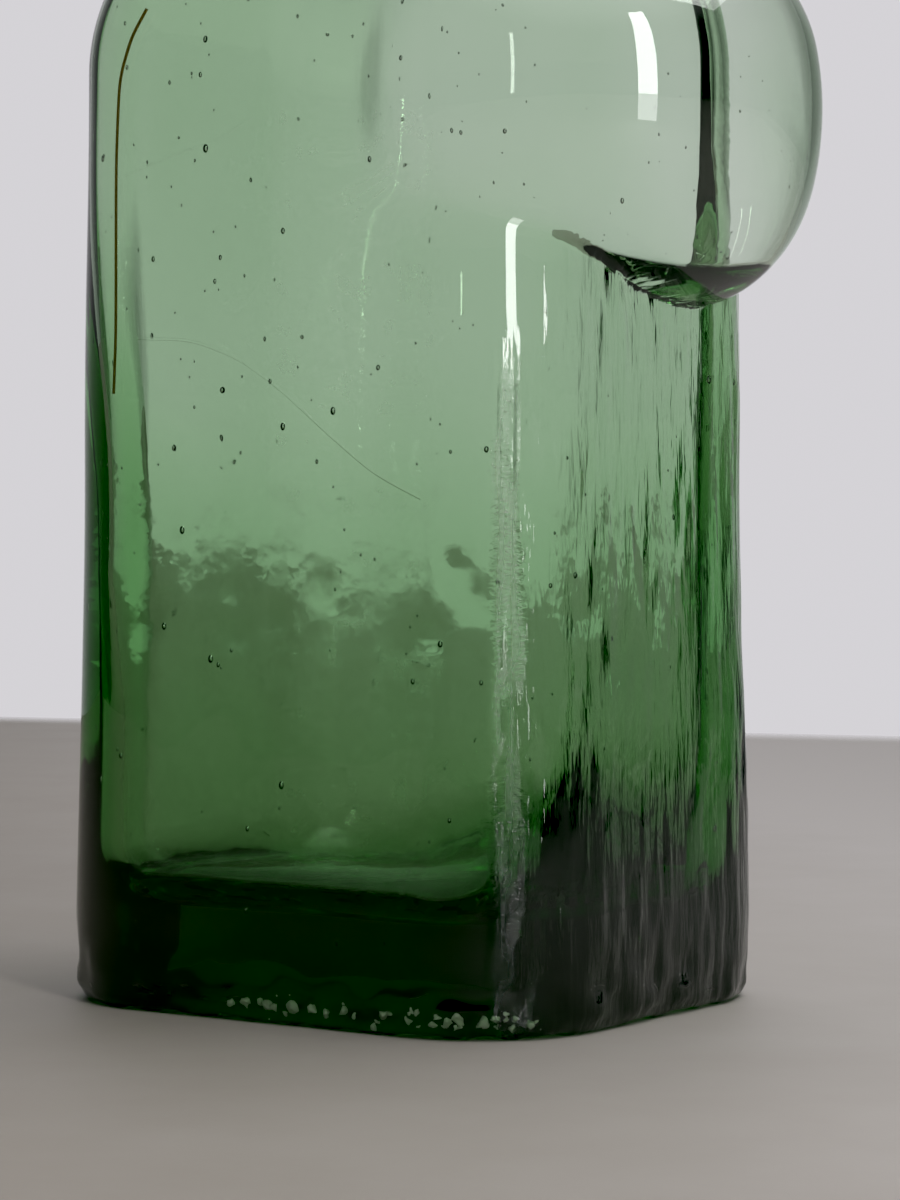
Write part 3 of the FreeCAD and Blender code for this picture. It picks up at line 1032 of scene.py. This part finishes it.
WHITE = (1, 1, 1, 1)
GLASS_IOR = 1.52
GLASS_DENSITY = 146.0  # share of light that the strongest absorbed colour loses, per metre
GLASS_PASSES = linear("#90d384")
# pale colour of the lime lumps, partly painted light for the bright spots where light comes in
# under the foot
LIME_AND_PAINTED_GLINTS = linear("#b9cdae")
KNOB_PASSES = linear("#a9dea0")
KNOB_DENSITY = 60.0


def green_bottle_glass():
    """Soda-lime glass with iron in it: sage green where thin, nearly black where thick.

    The inside has ripples 2.8 mm long and frosted patches of 5.5 mm where it chilled against
    the mould, the +X wall the mould's upright grain of 1.1 by 6.5 mm, and the near corner a
    scuffed ridge, whose rubs of 1.1 mm are coarser than real ones so that they show.
    """
    material, tree, output = new_material("mould_blown_green_glass")
    place = tree.nodes.new("ShaderNodeTexCoord")
    grain = add_node(tree, "ShaderNodeAttribute", {"attribute_name": "grain"})
    scuff = add_node(tree, "ShaderNodeAttribute", {"attribute_name": "scuff"})
    chilled = add_node(tree, "ShaderNodeAttribute", {"attribute_name": "chilled"})
    ripples = add_node(
        tree,
        "ShaderNodeTexNoise",
        {"Scale": 1 / 0.0028, "Detail": 1.5, "Roughness": 0.55},
        Vector=place.outputs["Object"],
    )
    drawn = add_node(
        tree,
        "ShaderNodeMapping",
        {"Scale": (1 / 0.0011, 1 / 0.0011, 1 / 0.0065)},
        Vector=place.outputs["Object"],
    )
    streaks = add_node(
        tree,
        "ShaderNodeTexNoise",
        {"Scale": 1.0, "Detail": 2.0},
        Vector=drawn.outputs["Vector"],
    )
    rubs = add_node(
        tree,
        "ShaderNodeTexNoise",
        {"Scale": 1 / 0.0011, "Detail": 3.0, "Roughness": 0.7},
        Vector=place.outputs["Object"],
    )
    bump = None
    for marks, mask, height in (
        (ripples, chilled, 0.00005),
        (streaks, grain, 0.00018),
        (rubs, scuff, 0.0004),
    ):
        marked = add_node(
            tree,
            "ShaderNodeMath",
            {"operation": "MULTIPLY"},
            _0=marks.outputs["Fac"],
            _1=mask.outputs["Fac"],
        )
        below = {"Normal": bump.outputs["Normal"]} if bump else {}
        bump = add_node(
            tree, "ShaderNodeBump", {"Distance": height}, Height=marked.outputs[0], **below
        )
    worn = add_node(
        tree,
        "ShaderNodeMapRange",
        {"From Min": 0.1, "From Max": 1.0, "To Max": 0.32},
        Value=scuff.outputs["Fac"],
    )
    patches = add_node(
        tree,
        "ShaderNodeTexNoise",
        {"Scale": 1 / 0.0055, "Detail": 4.0, "Roughness": 0.7},
        Vector=place.outputs["Object"],
    )
    frosted = add_node(
        tree,
        "ShaderNodeMapRange",
        {"From Min": 0.40, "From Max": 0.68, "To Min": 0.03, "To Max": 0.15},
        Value=patches.outputs["Fac"],
    )
    frost = add_node(
        tree,
        "ShaderNodeMath",
        {"operation": "MULTIPLY_ADD"},
        _0=frosted.outputs["Result"],
        _1=chilled.outputs["Fac"],
        _2=worn.outputs["Result"],
    )
    glass = add_node(
        tree,
        "ShaderNodeBsdfPrincipled",
        {"Base Color": WHITE, "IOR": GLASS_IOR, "Transmission Weight": 1.0},
        Normal=bump.outputs["Normal"],
        Roughness=frost.outputs[0],
    )
    tint = add_node(
        tree, "ShaderNodeVolumeAbsorption", {"Color": GLASS_PASSES, "Density": GLASS_DENSITY}
    )
    tree.links.new(glass.outputs["BSDF"], output.inputs["Surface"])
    tree.links.new(tint.outputs["Volume"], output.inputs["Volume"])
    return material


def air_seed():
    """Air shut in the glass: light goes from glass to air, so the index is the glass's inverse."""
    return plain_material(
        "air_seed",
        {"Base Color": WHITE, "IOR": 1 / GLASS_IOR, "Roughness": 0.02, "Transmission Weight": 1.0},
    )


def lime_and_painted_glints():
    """Lime that didn't melt, partly painted light: matt, pale lumps at the front of the foot, whose
    pale colour stands in for the bright spots where light comes in under it.
    """
    return plain_material("unmelted_lime_and_painted_glints", {"Base Color": LIME_AND_PAINTED_GLINTS, "Roughness": 0.8})


def hard_glass_thread():
    """Thread of badly mixed glass: its index is a little off, so that it shows as a faint line."""
    return plain_material(
        "glass_cord",
        {"Base Color": WHITE, "IOR": 0.975, "Roughness": 0.02, "Transmission Weight": 1.0},
    )


def rust_thread():
    """Thread of iron scale drawn out in the glass: a soft brown line."""
    return plain_material(
        "iron_stained_cord",
        {
            "Base Color": linear("#8a6a3c"),
            "IOR": 0.98,
            "Roughness": 0.3,
            "Transmission Weight": 0.8,
        },
    )


def pressed_knob_glass():
    """The bottle's glass, solid and fire-polished: smooth, with soft waves some 9 mm long."""
    material, tree, output = new_material("fire_polished_green_glass")
    place = tree.nodes.new("ShaderNodeTexCoord")
    waves = add_node(
        tree,
        "ShaderNodeTexNoise",
        {"Scale": 1 / 0.009, "Detail": 1.0},
        Vector=place.outputs["Object"],
    )
    soft = add_node(tree, "ShaderNodeBump", {"Distance": 0.00012}, Height=waves.outputs["Fac"])
    glass = add_node(
        tree,
        "ShaderNodeBsdfPrincipled",
        {"Base Color": WHITE, "IOR": GLASS_IOR, "Roughness": 0.0, "Transmission Weight": 1.0},
        Normal=soft.outputs["Normal"],
    )
    tint = add_node(
        tree, "ShaderNodeVolumeAbsorption", {"Color": KNOB_PASSES, "Density": KNOB_DENSITY}
    )
    tree.links.new(glass.outputs["BSDF"], output.inputs["Surface"])
    tree.links.new(tint.outputs["Volume"], output.inputs["Volume"])
    return material


def cut_cork():
    """Natural bark cork, punched and sanded: warm buff, darker flecks and pores, no shine."""
    material, tree, output = new_material("natural_cork")
    place = tree.nodes.new("ShaderNodeTexCoord")
    pores = add_node(tree, "ShaderNodeAttribute", {"attribute_name": "pores"})
    cells = add_node(
        tree,
        "ShaderNodeTexNoise",
        {"Scale": 1 / 0.0012, "Detail": 5.0, "Roughness": 0.65},
        Vector=place.outputs["Object"],
    )
    grown = add_node(
        tree,
        "ShaderNodeMapping",
        {"Scale": (1 / 0.004, 1 / 0.0015, 1 / 0.006)},
        Vector=place.outputs["Object"],
    )
    bands = add_node(
        tree, "ShaderNodeTexNoise", {"Scale": 1.0, "Detail": 3.0}, Vector=grown.outputs["Vector"]
    )
    both = add_node(
        tree,
        "ShaderNodeMath",
        {"operation": "MULTIPLY_ADD", 1: 0.5},
        _0=cells.outputs["Fac"],
        _2=bands.outputs["Fac"],
    )
    body = add_node(
        tree, "ShaderNodeMapRange", {"From Min": 0.5, "From Max": 1.0}, Value=both.outputs[0]
    )
    tone = add_node(tree, "ShaderNodeValToRGB", Fac=body.outputs["Result"])
    fill_ramp(
        tone.color_ramp,
        [(0.0, linear("#7d5532")), (0.45, linear("#b18656")), (1.0, linear("#cfa877"))],
    )
    dark = add_node(
        tree,
        "ShaderNodeMix",
        {"data_type": "RGBA"},
        _0=pores.outputs["Fac"],
        _6=tone.outputs["Color"],
    )
    dark.inputs[7].default_value = linear("#4a2f1b")
    rough = add_node(tree, "ShaderNodeBump", {"Distance": 0.0003}, Height=cells.outputs["Fac"])
    cork = add_node(
        tree,
        "ShaderNodeBsdfPrincipled",
        {"Roughness": 0.88},
        Base_Color=dark.outputs[2],
        Normal=rough.outputs["Normal"],
    )
    tree.links.new(cork.outputs["BSDF"], output.inputs["Surface"])
    return material


# Stage

def photo_camera():
    """Camera where the photograph was taken from."""
    data = bpy.data.cameras.new("camera")
    data.sensor_fit = "VERTICAL"
    data.sensor_height = SENSOR
    data.lens = FOCAL_PIXELS / PHOTO_HEIGHT * SENSOR
    data.clip_start = 0.01
    camera = bpy.data.objects.new("camera", data)
    scene.collection.objects.link(camera)
    camera.location = (
        CAMERA_DISTANCE * SINE + CAMERA_PAN * COSINE,
        -CAMERA_DISTANCE * COSINE + CAMERA_PAN * SINE,
        CAMERA_HEIGHT,
    )
    camera.rotation_euler = (math.pi / 2 - CAMERA_PITCH, 0, CAMERA_AZIMUTH)
    scene.camera = camera
    return camera


TABLE_EDGE = 0.734  # how far behind the bottle the table's far edge is
TABLE_EDGE_SLANT = 0.385  # how much nearer it gets for each metre to the right


def table_top():
    """Grey table with clouds some 45 mm across, whose far edge shows behind the bottle, with
    painted light: its colour grows lighter to the right and towards the back.
    """
    ahead = Vector((-SINE, COSINE, 0))
    right = Vector((COSINE, SINE, 0))
    near, half, slant = -1.6, 2.2, 0.13
    kink = slant / TABLE_EDGE_SLANT
    corners = [
        ahead * near - right * half,
        ahead * near + right * half,
        ahead * (TABLE_EDGE - slant) + right * half,
        ahead * (TABLE_EDGE - slant) + right * kink,
        ahead * (TABLE_EDGE + slant) - right * kink,
        ahead * (TABLE_EDGE + slant) - right * half,
    ]
    mesh = bpy.data.meshes.new("table")
    mesh.from_pydata([tuple(c) for c in corners], [], [(0, 1, 2, 3, 4, 5)])
    table = bpy.data.objects.new("table", mesh)
    scene.collection.objects.link(table)
    material, tree, output = new_material("grey_table")
    place = tree.nodes.new("ShaderNodeTexCoord")
    # painted light: the table's colour grows lighter to the right and towards the back, as if lit
    # from the right
    painted_light_from_right = add_node(
        tree,
        "ShaderNodeVectorMath",
        {"operation": "DOT_PRODUCT", 1: tuple(right * 5.0 + ahead * 0.9)},
        _0=place.outputs["Object"],
    )
    clouds = add_node(
        tree,
        "ShaderNodeTexNoise",
        {"Scale": 22.0, "Detail": 6.0, "Roughness": 0.62},
        Vector=place.outputs["Object"],
    )
    sum_up = add_node(
        tree,
        "ShaderNodeMath",
        {"operation": "MULTIPLY_ADD", 1: 0.55},
        _0=clouds.outputs["Fac"],
        _2=painted_light_from_right.outputs["Value"],
    )
    shade = add_node(
        tree,
        "ShaderNodeMapRange",
        {"From Min": -0.22, "From Max": 1.05},
        Value=sum_up.outputs[0],
    )
    tone = add_node(tree, "ShaderNodeValToRGB", Fac=shade.outputs["Result"])
    fill_ramp(tone.color_ramp, [(0.0, linear("#837b73")), (1.0, linear("#a49f9c"))])
    shader = add_node(
        tree, "ShaderNodeBsdfPrincipled", {"Roughness": 0.6}, Base_Color=tone.outputs["Color"]
    )
    far = add_node(
        tree,
        "ShaderNodeVectorMath",
        {"operation": "DOT_PRODUCT", 1: tuple(right * TABLE_EDGE_SLANT + ahead)},
        _0=place.outputs["Object"],
    )
    gone = add_node(
        tree,
        "ShaderNodeMapRange",
        {"interpolation_type": "SMOOTHSTEP", "From Min": 0.69, "From Max": 0.75},
        Value=far.outputs["Value"],
    )
    clear = tree.nodes.new("ShaderNodeBsdfTransparent")
    fading = add_node(tree, "ShaderNodeMixShader", _0=gone.outputs["Result"])
    tree.links.new(shader.outputs["BSDF"], fading.inputs[1])
    tree.links.new(clear.outputs["BSDF"], fading.inputs[2])
    tree.links.new(fading.outputs["Shader"], output.inputs["Surface"])
    mesh.materials.append(material)


ROOM_BY_DEGREES = (
    (0, 1.0),
    (12, 1.0),
    (18, 0.72),
    (25, 0.57),
    (35, 0.46),
    (43, 0.31),
    (56, 0.19),
    (75, 0.05),
    (120, 0.02),
    (180, 0.04),
)  # light of the room by the turn away from the wall ahead


def studio_light():
    """Pale wall ahead that falls off into a dim room on both sides."""
    world = bpy.data.worlds.new("studio")
    scene.world = world
    world.use_nodes = True
    tree = world.node_tree
    tree.nodes.clear()
    output = tree.nodes.new("ShaderNodeOutputWorld")
    where = tree.nodes.new("ShaderNodeTexCoord")
    parts = add_node(tree, "ShaderNodeSeparateXYZ", Vector=where.outputs["Generated"])
    ahead = add_node(
        tree,
        "ShaderNodeVectorMath",
        {"operation": "DOT_PRODUCT", 1: (-SINE, COSINE, 0)},
        _0=where.outputs["Generated"],
    )
    aside = add_node(
        tree,
        "ShaderNodeVectorMath",
        {"operation": "DOT_PRODUCT", 1: (COSINE, SINE, 0)},
        _0=where.outputs["Generated"],
    )
    azimuth = add_node(
        tree,
        "ShaderNodeMath",
        {"operation": "ARCTAN2"},
        _0=aside.outputs["Value"],
        _1=ahead.outputs["Value"],
    )
    spread = add_node(tree, "ShaderNodeMath", {"operation": "ABSOLUTE"}, _0=azimuth.outputs[0])
    share = add_node(
        tree, "ShaderNodeMath", {"operation": "DIVIDE", 1: math.pi}, _0=spread.outputs[0]
    )
    wall = add_node(tree, "ShaderNodeValToRGB", Fac=share.outputs[0])
    fill_ramp(
        wall.color_ramp,
        [(degrees / 180, (level,) * 3 + (1,)) for degrees, level in ROOM_BY_DEGREES],
    )
    above = add_node(
        tree,
        "ShaderNodeMapRange",
        {"interpolation_type": "SMOOTHSTEP", "From Min": 0.6, "From Max": 0.95, "To Max": 0.9},
        Value=parts.outputs["Z"],
    )
    level = add_node(
        tree,
        "ShaderNodeMath",
        {"operation": "MAXIMUM"},
        _0=wall.outputs["Color"],
        _1=above.outputs["Result"],
    )
    colour = add_node(
        tree,
        "ShaderNodeBackground",
        {"Color": linear("#d5d3d7")},
        Strength=level.outputs[0],
    )
    tree.links.new(colour.outputs["Background"], output.inputs["Surface"])


def area_lamp(name, place, target, width, height, power):
    """Soft box that points at a place."""
    data = bpy.data.lights.new(name, "AREA")
    data.shape = "RECTANGLE"
    data.size = width
    data.size_y = height
    data.energy = power
    lamp = bpy.data.objects.new(name, data)
    scene.collection.objects.link(lamp)
    lamp.location = place
    lamp.rotation_euler = (Vector(target) - Vector(place)).to_track_quat("-Z", "Y").to_euler()
    return lamp


LAMP_DISTANCE = 0.40


def strip_lamp(name, degrees, low, high, width, power):
    """Upright strip of light, so far to the right of the camera, between two heights."""
    turn = CAMERA_AZIMUTH + math.radians(degrees)
    middle = (low + high) / 2
    place = (LAMP_DISTANCE * math.sin(turn), -LAMP_DISTANCE * math.cos(turn), middle)
    lamp = area_lamp(name, place, (0, 0, middle), width, high - low, power)
    lamp.visible_camera = False
    return lamp


def lamps():
    """Tall window to the right of the camera, a gap of light on its left, and a soft box above."""
    window = strip_lamp("tall_window", 23, 0.11, 0.63, 0.056, 1.3)
    low_pane = strip_lamp("low_pane", 23, 0.0, 0.11, 0.056, 0.12)
    window.visible_transmission = low_pane.visible_transmission = False
    low_pane.visible_diffuse = False
    gap = strip_lamp("curtain_gap", -17, 0.125, 0.40, 0.010, 0.12)
    gap.visible_glossy = False
    gap.visible_diffuse = False
    area_lamp("overhead", (0.3, 0.3, 1.5), (0, 0, 0), 1.2, 1.2, 17.0)


glass = green_bottle_glass()
bottle = bottle_skin()
bottle.data.materials.append(glass)
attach(bottle, "bottle")
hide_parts("bottle_body")

seeds = lumps_in_glass("seeds", bottle, "depth", air_seed(), SEEDS)
# pale lumps of lime in the heel, partly painted light for the bright spots under the foot
grit_and_glints = lumps_in_glass("grit_and_glints", bottle, "grit_and_glints", lime_and_painted_glints(), GRIT_AND_GLINTS)
for lumps in (seeds, grit_and_glints):
    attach(lumps, "bottle")

threads = [
    thread_in_glass("cord", CORDS[0], 0.2, hard_glass_thread()),
    thread_in_glass("short_cord", CORDS[1], 0.15, hard_glass_thread()),
    thread_in_glass("rust_cord", RUST_THREAD, 0.3, rust_thread()),
]
for thread in threads:
    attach(thread, "bottle")

cork = cork_skin()
cork.data.materials.append(cut_cork())
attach(cork, "cork")
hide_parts("stopper_cork")

knob = knob_skin()
knob.data.materials.append(pressed_knob_glass())
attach(knob, "knob")
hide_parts("stopper_knob")

table_top()
studio_light()
lamps()
photo_camera()

scene.view_settings.view_transform = "Standard"
scene.view_settings.use_curve_mapping = True
scene.view_settings.curve_mapping.black_level = (0.010, 0.006, 0.009)
scene.cycles.max_bounces = 24
scene.cycles.transmission_bounces = 24
